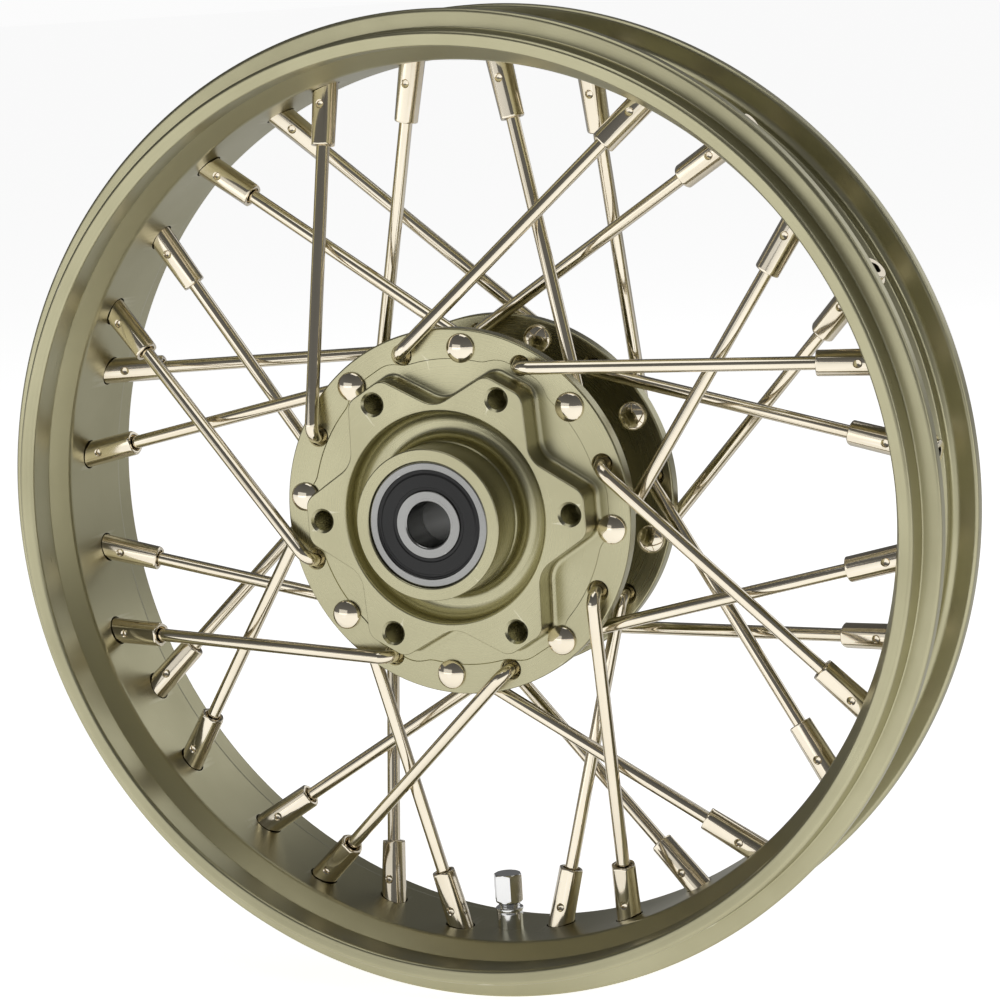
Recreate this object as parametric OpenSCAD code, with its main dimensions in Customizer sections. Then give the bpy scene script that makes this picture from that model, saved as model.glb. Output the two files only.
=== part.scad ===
// Spoked wheel for a small motorcycle.
// The wheel turns about the Y axis, the brake-disc side faces -Y and the valve points down, along -Z.
// Offsets along the axle are measured from the wheel's centre plane, positive towards the disc side.
// Angles run in the XZ plane from +X towards +Z.

/* [Rim] */
// Outer radius over the bead flanges
rim_r = 166; // [166:0.5:168]
// Distance over the outside of the two bead flanges
rim_w = 52; // [51:0.5:54]
// Distance over the two outer shoulders
shoulder_w = 71.6; // [70:0.2:74]
// Radius of the tyre's bead seat
bead_seat_r = 157.4; // [157:0.1:158]
// Radius of the rim's inner face, which the nipples pass
well_r = 149; // [148.5:0.1:149]

/* [Hub] */
// Outer radius of the spoke flanges
flange_r = 61.6; // [61:0.1:63]
// Offset of each flange's outer face
flange_face = 23.66; // [23:0.02:24.2]
// Thickness of each flange
flange_t = 5.4; // [5:0.1:5.8]
// Pitch radius of the spoke holes
spoke_pitch_r = 55.2; // [54.8:0.1:55.6]
// Offset of the disc plate's front face
plate_face = 34; // [33:0.1:35]
// Pitch diameter of the disc bolts
disc_pcd = 88.8; // [88:0.1:89.6]
// Radius of the bearing bosses
boss_r = 25.15; // [25:0.05:25.6]
// Offset of the bearing bosses' end faces
boss_end = 48.1; // [47.6:0.1:50]

/* [Bearings] */
// Bore of the bearings and of the distance tube
axle_d = 15; // [15]
// Outside diameter of the bearings
bearing_d = 42; // [42]
// Width of the bearings
bearing_w = 13; // [13]
// Diameter of a ball
ball_d = 7.94; // [7.94]
// Balls in each bearing
ball_n = 8; // [7:1:8]

/* [Spokes] */
// Spokes in the wheel, in four families
spoke_n = 32; // [32]
// Diameter of a spoke
spoke_d = 4.5; // [4:0.1:4.6]
// Diameter of a spoke's head
spoke_head_d = 9.8; // [9:0.1:10]
// Angle that each spoke leads or trails by, from hub to rim
spoke_lead = 45; // [44:0.5:46]
// Radius of the centre line of a spoke's elbow
elbow_r = 4.2; // [4:0.1:4.6]
// Width across flats of a nipple
nipple_af = 8; // [7.6:0.1:8.2]
// Overall length of a nipple
nipple_l = 30.5; // [29:0.5:31]

/* [Valve] */
// Diameter of the valve stem
stem_d = 7.7; // [7.7]
// Width across flats of the valve cap
cap_af = 9; // [8.9:0.1:9.4]
// Length of the valve cap
cap_l = 9.4; // [9.2:0.1:9.8]

/* [Hidden] */
$fn = 96;
eps = 0.01;
cut = 1;
near = 1;
far = -1;
steel = [0.78, 0.76, 0.7];

// Angles of the four spoke families' first hub holes
spoke_step = 360 / spoke_n;
family_n = spoke_n / 4;
family_step = 360 / family_n;
valve_angle = 270;
near_head_out_angle = valve_angle - spoke_step / 2;
near_elbow_out_angle = near_head_out_angle - 2 * spoke_step;
far_elbow_out_angle = valve_angle + spoke_step / 2 - 3 * 2 * spoke_step + family_step;
far_head_out_angle = far_elbow_out_angle - 2 * spoke_step;

// Rim section
rim_h = rim_w / 2;
bead_flange_t = 5.7;
bead_inner = rim_h - bead_flange_t;
tip_round = 1.2;
heel_r = 2.5;
shoulder_h = shoulder_w / 2;
shoulder_r0 = 154.1;
shoulder_r1 = 159.4;
shoulder_round = 1.3;
wall_corner_r = 153.85;
wall_corner = 24.8;
well_corner = 17.4;
well_round = 2;
channel_r = 154.5;
channel_h = 11.4;

// Spokes at the rim: where their axes meet, and the nipples' parts along them
nipple_r = 157;
nipple_offset = 3;
seat_z = -4;
washer_t = 1;
washer_d = 12.4;
nipple_hole_d = 9.6;
nipple_hole_l = 20;
nipple_hole_back = 16;
spot_face_d = 12.8;
spot_face_l = 12;
nipple_head_d = 11.4;
nipple_head_l = 3;
driver_d = 9;
driver_l = 2;
slot_w = 1.5;
slot_h = 1.4;
nipple_corner_d = 8.9;
nipple_round = 0.7;
nipple_bore_d = spoke_d + 0.06;
nipple_mouth_d = 5.9;
nipple_mouth_l = 2.5;
dimple_d = 2.4;
dimple_depth = 1;
dimple_z = -15;
thread_l = 14;

// Spoke heads and holes in the flanges
flange_inner = flange_face - flange_t;
spoke_hole_d = spoke_d + 0.5;
countersink_d = 7.4;
head_h = 2.5;
head_rim_h = 0.8;
bend_lift = 0.6;
bend_d = spoke_d + 0.06;
bend_lap = 0.3;

// Hub body
hub_bore_r = 18.5;
barrel_r = 28;
barrel_fillet = 6;
plate_root = 51;
plate_step = 0.3;
flange_chamfer = 0.6;
lobe_n = 6;
lobe_step = 360 / lobe_n;
lobe_phase = 1.5;
lobe_tip_r = 50.3;
lobe_tip_half = 8.2;
lobe_valley_r = 36.9;
lobe_tip_round = 5;
lobe_valley_round = 9;
arc_steps = 8;
groove_r0 = 25.65;
groove_r1 = 35.2;
groove_depth = 9;
groove_lip = 1.2;
boss_chamfer = 0.5;
boss_waist = 33.6;
disc_hole_d = 6.8;
disc_sink_d = 8.4;
far_root_r = 46;
far_cone = 30;
seat_mouth_chamfer = 0.6;

// Bearings
bearing_inset = 0.8;
bearing_mid = boss_end - bearing_inset - bearing_w / 2;
ball_pitch_r = (axle_d + bearing_d) / 4;
race_play = 0.015;
race_conformity = 0.52;
race_r = race_conformity * ball_d;
inner_race_bottom = ball_pitch_r - ball_d / 2 - race_play;
outer_race_bottom = ball_pitch_r + ball_d / 2 + race_play;
inner_shoulder_r = 11.7;
inner_land_r = 11.15;
outer_shoulder_r = 17;
seal_seat_r = 18.1;
seal_t = 1.4;
seal_inset = 0.25;
seal_inner = bearing_w / 2 - seal_inset - seal_t;
seal_lip_r = inner_land_r + 0.06;
seal_r = seal_seat_r - 0.03;
seal_rib_r0 = 12.4;
seal_rib_r1 = 16.6;
seal_rib_h = 0.3;
ring_chamfer = 0.8;
cage_r0 = 13;
cage_r1 = 15.9;
cage_w = 9.2;
pocket_play = 0.15;
tube_r = 10.5;

// Valve, heights measured from the axle towards the rim
gasket_seat = 154.2;
gasket_d = 16;
gasket_t = 1.5;
gasket_play = 0.5;
valve_hole_d = 7.9;
valve_hole_lead = 5;
valve_hole_l = 12;
valve_face_l = 4;
stem_flange_d = 14.6;
stem_flange_t = 1.8;
stem_top = 132.6;
stem_bore_d = 4.4;
stem_foot_bore_d = 2;
stem_bore_floor = 144;
thread_round = 0.4;
sleeve_d = 9;
sleeve_top = 141.7;
sleeve_gap = 0.1;
sleeve_ring_d = 9.6;
sleeve_ring_t = 0.9;
cap_bottom = 139.2;
cap_top = cap_bottom - cap_l;
cap_bore_d = 7.86;
cap_ceiling = 131.3;
cap_corner_off = 0.35;
cap_corner_d = cap_af / cos(30) - cap_corner_off;
cap_top_bevel = 0.45;
cap_bevel = 0.9;
cap_bevel_in = 0.54;
cap_seal_play = 0.1;
cap_seal_t = 1;
core_d = 4.3;
core_top = 133.4;
core_l = 6.5;
core_bore_d = 1.22;
core_slot_l = 1.6;
pin_d = 1.1;
pin_top = 133;
pin_end = 143;
cup_d = 3.2;
cup_t = 1;
core_play = 0.05;
spring_r = 1.35;
spring_wire = 0.36;
spring_turns = 4;
spring_sides = 8;
spring_steps = 14;

// ---------------------------------------------------------------- placing

// Turns a drawing of radius against axle offset about the wheel's axle
module turned() {
    rotate([90, 0, 0]) rotate_extrude() children();
}

module at_angle(a) {
    rotate([0, -a, 0]) children();
}

// Moves a shape drawn about the axle to an offset on one side of the wheel
module at_side(side, offset) {
    translate([0, -side * offset, 0]) children();
}

// Stands a shape drawn along Z up against the disc-side or far-side face
module facing(side) {
    rotate([side * 90, 0, 0]) children();
}

module round_family(first) {
    for (i = [0 : family_n - 1]) at_angle(first + i * family_step) children();
}

function polar(r, a) = [r * cos(a), r * sin(a)];

function unit(v) = v / norm(v);

// Points of a corner at p between the neighbours a and b, rounded with radius r
function corner(a, p, b, r) =
    let (
        u = unit(a - p),
        v = unit(b - p),
        half = acos(u * v) / 2,
        c = p + unit(u + v) * r / sin(half),
        s = p + u * r / tan(half) - c,
        e = p + v * r / tan(half) - c,
        a0 = atan2(s[1], s[0]),
        raw = atan2(e[1], e[0]) - a0,
        sweep = raw > 180 ? raw - 360 : raw < -180 ? raw + 360 : raw
    )
    [for (i = [0 : arc_steps]) c + polar(r, a0 + sweep * i / arc_steps)];

// Closed outline with each of its corners rounded
function rounded(pts, radii) = [
    for (i = [0 : len(pts) - 1])
        each corner(
            pts[(i + len(pts) - 1) % len(pts)], pts[i], pts[(i + 1) % len(pts)], radii[i % len(radii)]
        )
];

// ---------------------------------------------------------------- spoke geometry

// A spoke lies in the plane of the axle and of its own run. Its travel through the
// flange is +1 when it goes outwards (elbow outside) and -1 when it goes inwards.
function run_vector() = [nipple_r * cos(spoke_lead) - spoke_pitch_r, nipple_r * sin(spoke_lead)];

function run_angle() = atan2(run_vector()[1], run_vector()[0]);

function run_length() = norm(run_vector());

function bend_start(travel) = travel > 0 ? flange_face + bend_lift : flange_inner - bend_lift;

function reach_back(travel) = travel * (nipple_offset - bend_start(travel));

function reach_out() = run_length() - elbow_r;

function bend_angle(travel) =
    atan2(reach_out(), reach_back(travel)) + asin(elbow_r / norm([reach_out(), reach_back(travel)]));

function bend_end(travel) = [
    elbow_r * (1 - cos(bend_angle(travel))),
    bend_start(travel) + travel * elbow_r * sin(bend_angle(travel))
];

function leg_tilt(travel) = atan2(travel * cos(bend_angle(travel)), sin(bend_angle(travel)));

function leg_length(travel) = norm([run_length(), nipple_offset] - bend_end(travel));

// Puts a spoke drawn with X along its run and Y along the offset onto its hub hole
module spoke_place(side, turn) {
    translate([spoke_pitch_r, 0, 0]) at_angle(turn * run_angle())
        mirror([0, side > 0 ? 1 : 0, 0]) children();
}

// Puts a shape drawn along Z, with its origin where the spoke meets the nipple circle, onto a spoke
module on_leg(side, turn, travel) {
    spoke_place(side, turn) translate([run_length(), nipple_offset, 0])
        rotate([0, 0, leg_tilt(travel)]) rotate([0, 90, 0]) children();
}

module spoke(side, turn, travel) {
    head_face = travel > 0 ? flange_inner : flange_face;
    shank = abs(bend_start(travel) - head_face);
    spoke_place(side, turn) {
        translate([0, head_face, 0]) rotate([-travel * 90, 0, 0]) {
            translate([0, 0, -head_rim_h / 2]) cylinder(h = shank + bend_lap + head_rim_h / 2, d = spoke_d);
            mirror([0, 0, 1]) spoke_head();
        }
        translate([elbow_r, bend_start(travel), 0])
            rotate([0, 0, travel > 0 ? 180 - bend_angle(travel) : 180])
                rotate_extrude(angle = bend_angle(travel)) translate([elbow_r, 0]) circle(d = bend_d);
        translate([bend_end(travel)[0], bend_end(travel)[1], 0])
            rotate([0, 0, leg_tilt(travel)]) rotate([0, 90, 0]) translate([0, 0, -bend_lap])
                cylinder(h = bend_lap + leg_length(travel) + seat_z - thread_l / 2, d = spoke_d);
    }
}

// Domed head, drawn with its underside at the origin
module spoke_head() {
    dome_h = head_h - head_rim_h;
    dome_r = (pow(spoke_head_d / 2, 2) + pow(dome_h, 2)) / (2 * dome_h);
    cylinder(h = head_rim_h, d = spoke_head_d);
    intersection() {
        translate([0, 0, head_h - dome_r]) sphere(r = dome_r);
        translate([0, 0, head_rim_h - eps]) cylinder(h = head_h, d = spoke_head_d);
    }
}

module spoke_family(first, side, turn, travel) {
    color(steel) round_family(first) spoke(side, turn, travel);
}

// ---------------------------------------------------------------- nipples

module nipple() {
    open_end = nipple_head_l + driver_l - nipple_l + seat_z + washer_t;
    head_z = seat_z + washer_t;
    difference() {
        union() {
            intersection() {
                translate([0, 0, open_end])
                    cylinder(h = head_z - open_end + cut, d = nipple_af / cos(30), $fn = 6);
                translate([0, 0, open_end]) nipple_envelope(head_z - open_end + cut);
            }
            translate([0, 0, head_z]) cylinder(h = nipple_head_l, d = nipple_head_d);
            translate([0, 0, head_z + nipple_head_l - eps]) cylinder(h = driver_l + eps, d = driver_d);
        }
        translate([0, 0, open_end - cut]) cylinder(h = nipple_l, d = nipple_bore_d);
        translate([0, 0, open_end - cut]) cylinder(h = nipple_mouth_l + cut, d = nipple_mouth_d);
        translate([-driver_d, -slot_w / 2, head_z + nipple_head_l + driver_l - slot_h])
            cube([2 * driver_d, slot_w, slot_h + cut]);
        for (s = [0, 1]) mirror([0, s]) translate([0, nipple_af / 2 - dimple_depth, dimple_z])
            rotate([-90, 0, 0]) cylinder(h = dimple_depth + cut, d = dimple_d);
    }
}

// Round bar with a bevelled open end, which takes the corners off the hexagon
module nipple_envelope(l) {
    cylinder(h = nipple_round, d1 = nipple_corner_d - 2 * nipple_round, d2 = nipple_corner_d);
    translate([0, 0, nipple_round - eps]) cylinder(h = l, d = nipple_corner_d);
}

module nipple_family(first, side, turn, travel) {
    color(steel) round_family(first) on_leg(side, turn, travel) nipple();
}

module washer_family(first, side, turn, travel) {
    color(steel) round_family(first) on_leg(side, turn, travel) translate([0, 0, seat_z]) difference() {
        cylinder(h = washer_t, d = washer_d);
        translate([0, 0, -cut]) cylinder(h = washer_t + 2 * cut, d = nipple_hole_d);
    }
}

module near_nipple_washers() {
    washer_family(near_elbow_out_angle, near, -1, 1);
    washer_family(near_head_out_angle, near, 1, -1);
}

module far_nipple_washers() {
    washer_family(far_elbow_out_angle, far, 1, 1);
    washer_family(far_head_out_angle, far, -1, -1);
}

// ---------------------------------------------------------------- rim

module rim_half_section() {
    slope = unit([wall_corner_r - well_r, wall_corner - well_corner]);
    round_l = well_round * tan((90 - atan2(slope[1], slope[0])) / 2);
    round_start = [well_r, well_corner - round_l];
    lap = tip_round;
    // channel floor, bead seat, bead flange and sloping wall
    polygon([
        [well_r, -cut], [channel_r, -cut], [channel_r, channel_h],
        [bead_seat_r, channel_h + bead_seat_r - channel_r], [bead_seat_r, bead_inner],
        [rim_r - tip_round, bead_inner], [rim_r - tip_round, rim_h], [shoulder_r0, rim_h],
        [wall_corner_r, wall_corner], [well_r, well_corner] + round_l * slope, round_start
    ]);
    translate(round_start + [well_round, 0]) circle(r = well_round);
    // heel of the bead seat
    difference() {
        translate([bead_seat_r - lap, bead_inner - heel_r]) square(heel_r + lap);
        translate([bead_seat_r + heel_r, bead_inner - heel_r]) circle(r = heel_r);
    }
    // rounded edge of the bead flange
    translate([rim_r - tip_round - lap, bead_inner + tip_round])
        square([tip_round + lap, bead_flange_t - 2 * tip_round]);
    for (y = [bead_inner + tip_round, rim_h - tip_round])
        translate([rim_r - tip_round, y]) circle(r = tip_round);
    // outer shoulder
    translate([shoulder_r0, rim_h - cut])
        square([shoulder_r1 - shoulder_r0, shoulder_h - rim_h - shoulder_round + cut]);
    translate([shoulder_r0 + shoulder_round, rim_h])
        square([shoulder_r1 - shoulder_r0 - 2 * shoulder_round, shoulder_h - rim_h]);
    for (x = [shoulder_r0 + shoulder_round, shoulder_r1 - shoulder_round])
        translate([x, shoulder_h - shoulder_round]) circle(r = shoulder_round);
}

module nipple_seat() {
    translate([0, 0, seat_z - nipple_hole_back]) cylinder(h = nipple_hole_l, d = nipple_hole_d);
    translate([0, 0, seat_z]) cylinder(h = spot_face_l, d = spot_face_d);
}

module rim() {
    color([0.71, 0.68, 0.58]) difference() {
        turned() {
            rim_half_section();
            mirror([0, 1]) rim_half_section();
        }
        round_family(near_head_out_angle) on_leg(near, 1, -1) nipple_seat();
        round_family(near_elbow_out_angle) on_leg(near, -1, 1) nipple_seat();
        round_family(far_elbow_out_angle) on_leg(far, 1, 1) nipple_seat();
        round_family(far_head_out_angle) on_leg(far, -1, -1) nipple_seat();
        mirror([0, 0, 1]) {
            translate([0, 0, well_r - valve_hole_lead]) cylinder(h = valve_hole_l, d = valve_hole_d);
            translate([0, 0, gasket_seat]) cylinder(h = valve_face_l, d = gasket_d + 2 * gasket_play);
        }
    }
}

// ---------------------------------------------------------------- hub

function lobe_outline() = rounded(
    [
        for (i = [0 : lobe_n - 1])
            each [
                polar(lobe_tip_r, lobe_phase + i * lobe_step - lobe_tip_half),
                polar(lobe_tip_r, lobe_phase + i * lobe_step + lobe_tip_half),
                polar(lobe_valley_r, lobe_phase + (i + 0.5) * lobe_step)
            ]
    ],
    [lobe_tip_round, lobe_tip_round, lobe_valley_round]
);

module flange_section() {
    square([flange_r - flange_chamfer, flange_face]);
    translate([0, flange_inner + flange_chamfer]) square([flange_r, flange_t - 2 * flange_chamfer]);
}

module hub_section() {
    boss_l = boss_end - boss_chamfer;
    difference() {
        union() {
            difference() {
                flange_section();
                translate([barrel_r + barrel_fillet, flange_inner - barrel_fillet])
                    circle(r = barrel_fillet);
                translate([barrel_r + barrel_fillet, flange_inner - barrel_fillet - eps])
                    square([flange_r, barrel_fillet + eps]);
                translate([barrel_r, -cut]) square([flange_r, flange_inner - barrel_fillet + cut]);
            }
            translate([0, -eps]) square([groove_r0, boss_waist + eps]);
            square([boss_r, boss_l]);
            square([boss_r - boss_chamfer, boss_end]);
        }
        translate([-cut, -cut]) square([hub_bore_r + cut, boss_end + 2 * cut]);
        translate([-cut, boss_end - bearing_inset - bearing_w]) square([bearing_d / 2 + cut, boss_end]);
    }
}

// Far side: the flange runs down to the boss in a cone
module far_cone_section() {
    polygon([
        [hub_bore_r + cut, flange_face - cut], [far_root_r, flange_face - cut], [far_root_r, flange_face],
        [groove_r0, far_cone], [hub_bore_r + cut, far_cone]
    ]);
}

// Annular groove between the disc plate and the bearing boss
module groove_section() {
    w = (groove_r1 - groove_r0) / 2;
    mid = groove_r0 + w;
    translate([mid, plate_face - groove_depth + w]) circle(r = w);
    translate([groove_r0, plate_face - groove_depth + w]) square([2 * w, groove_depth]);
    difference() {
        translate([groove_r1 - eps, plate_face - groove_lip]) square([groove_lip + eps, groove_lip + cut]);
        translate([groove_r1 + groove_lip, plate_face - groove_lip]) circle(r = groove_lip);
    }
}

module spoke_holes(side, first) {
    depth = (countersink_d - spoke_hole_d) / 2;
    for (i = [0 : spoke_n / 2 - 1]) at_angle(first + i * 2 * spoke_step)
        translate([spoke_pitch_r, 0, 0]) facing(side) {
            translate([0, 0, flange_inner - cut]) cylinder(h = flange_t + 2 * cut, d = spoke_hole_d);
            translate([0, 0, flange_face - depth])
                cylinder(h = depth + eps, d1 = spoke_hole_d, d2 = countersink_d + 2 * eps);
            translate([0, 0, flange_inner - eps])
                cylinder(h = depth + eps, d1 = countersink_d + 2 * eps, d2 = spoke_hole_d);
        }
}

module disc_holes() {
    depth = (disc_sink_d - disc_hole_d) / 2;
    for (i = [0 : lobe_n - 1]) at_angle(lobe_phase + i * lobe_step)
        translate([disc_pcd / 2, 0, 0]) facing(near) {
            translate([0, 0, flange_inner - cut])
                cylinder(h = plate_face - flange_inner + 2 * cut, d = disc_hole_d);
            translate([0, 0, plate_face - depth])
                cylinder(h = depth + eps, d1 = disc_hole_d, d2 = disc_sink_d + 2 * eps);
        }
}

module disc_plate() {
    difference() {
        rotate([90, 0, 0]) translate([0, 0, flange_face - cut])
            linear_extrude(plate_face - flange_face + cut) polygon(lobe_outline());
        turned() translate([0, flange_face - 2 * cut]) square([boss_r - eps, boss_end]);
    }
}

module hub_shell() {
    color([0.74, 0.71, 0.61]) difference() {
        union() {
            difference() {
                turned() {
                    hub_section();
                    mirror([0, 1]) hub_section();
                    mirror([0, 1]) far_cone_section();
                }
                turned() translate([groove_r0, flange_face - plate_step])
                    square([plate_root - groove_r0, plate_step + cut]);
            }
            disc_plate();
        }
        turned() groove_section();
        disc_holes();
        spoke_holes(near, near_head_out_angle);
        spoke_holes(far, far_head_out_angle);
    }
}

// ---------------------------------------------------------------- bearings

module ring_section(r0, r1, chamfer_r0, chamfer_r1) {
    h = bearing_w / 2;
    a = chamfer_r0 ? ring_chamfer : 0;
    b = chamfer_r1 ? ring_chamfer : 0;
    polygon(concat(
        a > 0 ? [[r0, -h + a], [r0 + a, -h]] : [[r0, -h]],
        b > 0 ? [[r1 - b, -h], [r1, -h + b]] : [[r1, -h]],
        b > 0 ? [[r1, h - b], [r1 - b, h]] : [[r1, h]],
        a > 0 ? [[r0 + a, h], [r0, h - a]] : [[r0, h]]
    ));
}

module outer_ring(side) {
    color("silver") at_side(side, bearing_mid) turned() difference() {
        ring_section(outer_shoulder_r, bearing_d / 2, false, true);
        translate([outer_race_bottom - race_r, 0]) circle(r = race_r);
        for (s = [0, 1]) mirror([0, s])
            translate([outer_shoulder_r - cut, seal_inner])
                square([seal_seat_r - outer_shoulder_r + cut, 2 * seal_t]);
    }
}

module inner_ring(side) {
    color("silver") at_side(side, bearing_mid) turned() difference() {
        ring_section(axle_d / 2, inner_shoulder_r, true, false);
        translate([inner_race_bottom + race_r, 0]) circle(r = race_r);
        for (s = [0, 1]) mirror([0, s])
            translate([inner_land_r, seal_inner - seal_inset]) square([cut, 2 * seal_t]);
    }
}

module balls(side) {
    color("gainsboro") at_side(side, bearing_mid)
        for (i = [0 : ball_n - 1]) at_angle(i * 360 / ball_n)
            translate([ball_pitch_r, 0, 0]) sphere(d = ball_d);
}

module cage(side) {
    color("goldenrod") at_side(side, bearing_mid) difference() {
        turned() translate([cage_r0, -cage_w / 2]) square([cage_r1 - cage_r0, cage_w]);
        for (i = [0 : ball_n - 1]) at_angle(i * 360 / ball_n) translate([cage_r0 - cut, 0, 0])
            rotate([0, 90, 0]) cylinder(h = cage_r1 - cage_r0 + 2 * cut, d = ball_d + 2 * pocket_play);
    }
}

module seal(side, end) {
    color([0.09, 0.09, 0.09]) at_side(side, bearing_mid) turned() mirror([0, end > 0 ? 0 : 1]) {
        translate([seal_lip_r, seal_inner]) square([seal_r - seal_lip_r, seal_t - seal_rib_h]);
        translate([seal_rib_r0, seal_inner]) square([seal_rib_r1 - seal_rib_r0, seal_t]);
    }
}

module distance_tube() {
    color("darkgray") turned() translate([axle_d / 2, -(bearing_mid - bearing_w / 2)])
        square([tube_r - axle_d / 2, 2 * bearing_mid - bearing_w]);
}

// ---------------------------------------------------------------- valve

// Stands a shape drawn with Z as the distance from the axle onto the valve's axis
module valve_place() {
    mirror([0, 0, 1]) children();
}

module valve_stem() {
    color("silver") valve_place() difference() {
        union() {
            translate([0, 0, stem_top])
                cylinder(h = thread_round, d1 = stem_d - 2 * thread_round, d2 = stem_d);
            translate([0, 0, stem_top + thread_round - eps])
                cylinder(h = gasket_seat + gasket_t - stem_top, d = stem_d);
            translate([0, 0, gasket_seat + gasket_t]) cylinder(h = stem_flange_t, d = stem_flange_d);
        }
        translate([0, 0, stem_top - cut]) cylinder(h = stem_bore_floor - stem_top + cut, d = stem_bore_d);
        translate([0, 0, stem_top]) cylinder(h = gasket_seat, d = stem_foot_bore_d);
    }
}

module valve_gasket() {
    color([0.1, 0.1, 0.1]) valve_place() translate([0, 0, gasket_seat]) difference() {
        cylinder(h = gasket_t, d = gasket_d);
        translate([0, 0, -cut]) cylinder(h = gasket_t + 2 * cut, d = valve_hole_d);
    }
}

module valve_sleeve_nut() {
    color("gainsboro") valve_place() difference() {
        union() {
            translate([0, 0, sleeve_top]) cylinder(h = well_r - sleeve_gap - sleeve_top, d = sleeve_d);
            translate([0, 0, sleeve_top]) cylinder(h = sleeve_ring_t, d = sleeve_ring_d);
        }
        translate([0, 0, sleeve_top - cut]) cylinder(h = well_r - sleeve_top + 2 * cut, d = valve_hole_d);
    }
}

module valve_core_body() {
    color("goldenrod") valve_place() translate([0, 0, core_top]) difference() {
        cylinder(h = core_l, d = core_d);
        translate([0, 0, -cut]) cylinder(h = core_l + 2 * cut, d = core_bore_d);
        translate([-core_d, -core_bore_d / 2, -cut]) cube([2 * core_d, core_bore_d, core_slot_l + cut]);
    }
}

module valve_core_pin() {
    color("silver") valve_place() {
        translate([0, 0, pin_top]) cylinder(h = pin_end - pin_top, d = pin_d);
        translate([0, 0, core_top + core_l + core_play]) cylinder(h = cup_t, d = cup_d);
    }
}

// Points of a helical wire, ring by ring
function coil_ring(r, wire, turns, l, i) =
    let (t = i / (turns * spring_steps), a = 360 * turns * t)
    [
        for (j = [0 : spring_sides - 1])
            let (b = 360 * j / spring_sides, q = r + wire / 2 * cos(b))
            [q * cos(a), q * sin(a), wire / 2 * sin(b) + l * t]
    ];

module coil(r, wire, turns, l) {
    rings = turns * spring_steps;
    n = spring_sides;
    pts = [for (i = [0 : rings]) each coil_ring(r, wire, turns, l, i)];
    walls = [
        for (i = [0 : rings - 1], j = [0 : n - 1])
            each [
                [i * n + j, (i + 1) * n + j, (i + 1) * n + (j + 1) % n],
                [i * n + j, (i + 1) * n + (j + 1) % n, i * n + (j + 1) % n]
            ]
    ];
    first_cap = [for (j = [0 : n - 1]) j];
    last_cap = [for (j = [n - 1 : -1 : 0]) rings * n + j];
    polyhedron(points = pts, faces = concat([first_cap], [last_cap], walls));
}

module valve_core_spring() {
    low = core_top + core_l + cup_t + 2 * core_play + spring_wire / 2;
    color("dimgray") valve_place() translate([0, 0, low])
        coil(spring_r, spring_wire, spring_turns, stem_bore_floor - core_play - spring_wire / 2 - low);
}

module valve_cap() {
    body_l = cap_bottom - cap_top;
    color("gainsboro") valve_place() difference() {
        intersection() {
            translate([0, 0, cap_top]) cylinder(h = body_l, d = cap_af / cos(30), $fn = 6);
            union() {
                translate([0, 0, cap_top])
                    cylinder(h = cap_top_bevel, d1 = cap_corner_d - 2 * cap_top_bevel, d2 = cap_corner_d);
                translate([0, 0, cap_top + cap_top_bevel - eps])
                    cylinder(h = body_l - cap_top_bevel - cap_bevel + 2 * eps, d = cap_corner_d);
                translate([0, 0, cap_bottom - cap_bevel])
                    cylinder(h = cap_bevel, d1 = cap_corner_d, d2 = cap_corner_d - 2 * cap_bevel_in);
            }
        }
        translate([0, 0, cap_ceiling]) cylinder(h = cap_bottom - cap_ceiling + cut, d = cap_bore_d);
    }
}

module valve_cap_seal() {
    color([0.1, 0.1, 0.1]) valve_place() translate([0, 0, cap_ceiling])
        cylinder(h = cap_seal_t, d = cap_bore_d - 2 * cap_seal_play);
}

// ---------------------------------------------------------------- nodes

rim();
hub_shell();
outer_ring(near);  // near_outer_ring
inner_ring(near);  // near_inner_ring
balls(near);  // near_balls
cage(near);  // near_cage
seal(near, 1);  // near_outer_seal
seal(near, -1);  // near_inner_seal
outer_ring(far);  // far_outer_ring
inner_ring(far);  // far_inner_ring
balls(far);  // far_balls
cage(far);  // far_cage
seal(far, -1);  // far_outer_seal
seal(far, 1);  // far_inner_seal
distance_tube();
spoke_family(near_elbow_out_angle, near, -1, 1);  // near_elbow_out_spokes
spoke_family(near_head_out_angle, near, 1, -1);  // near_head_out_spokes
spoke_family(far_elbow_out_angle, far, 1, 1);  // far_elbow_out_spokes
spoke_family(far_head_out_angle, far, -1, -1);  // far_head_out_spokes
nipple_family(near_elbow_out_angle, near, -1, 1);  // near_elbow_out_nipples
nipple_family(near_head_out_angle, near, 1, -1);  // near_head_out_nipples
nipple_family(far_elbow_out_angle, far, 1, 1);  // far_elbow_out_nipples
nipple_family(far_head_out_angle, far, -1, -1);  // far_head_out_nipples
near_nipple_washers();
far_nipple_washers();
valve_stem();
valve_gasket();
valve_sleeve_nut();
valve_core_body();
valve_core_pin();
valve_core_spring();
valve_cap();
valve_cap_seal();
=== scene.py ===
"""Looks of a wire-spoked motorcycle wheel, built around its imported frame.

The wheel's axle is the Y axis, the disc side faces -Y and the valve points down. Sizes are in millimetres, and
offsets along the axle are positive towards the disc side. Angles run from +X towards +Z.
"""

import logging
import math
from collections.abc import Sequence
from dataclasses import dataclass
from enum import Enum

import bmesh
import bpy
import numpy as np
from mathutils import Matrix, Vector


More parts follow.
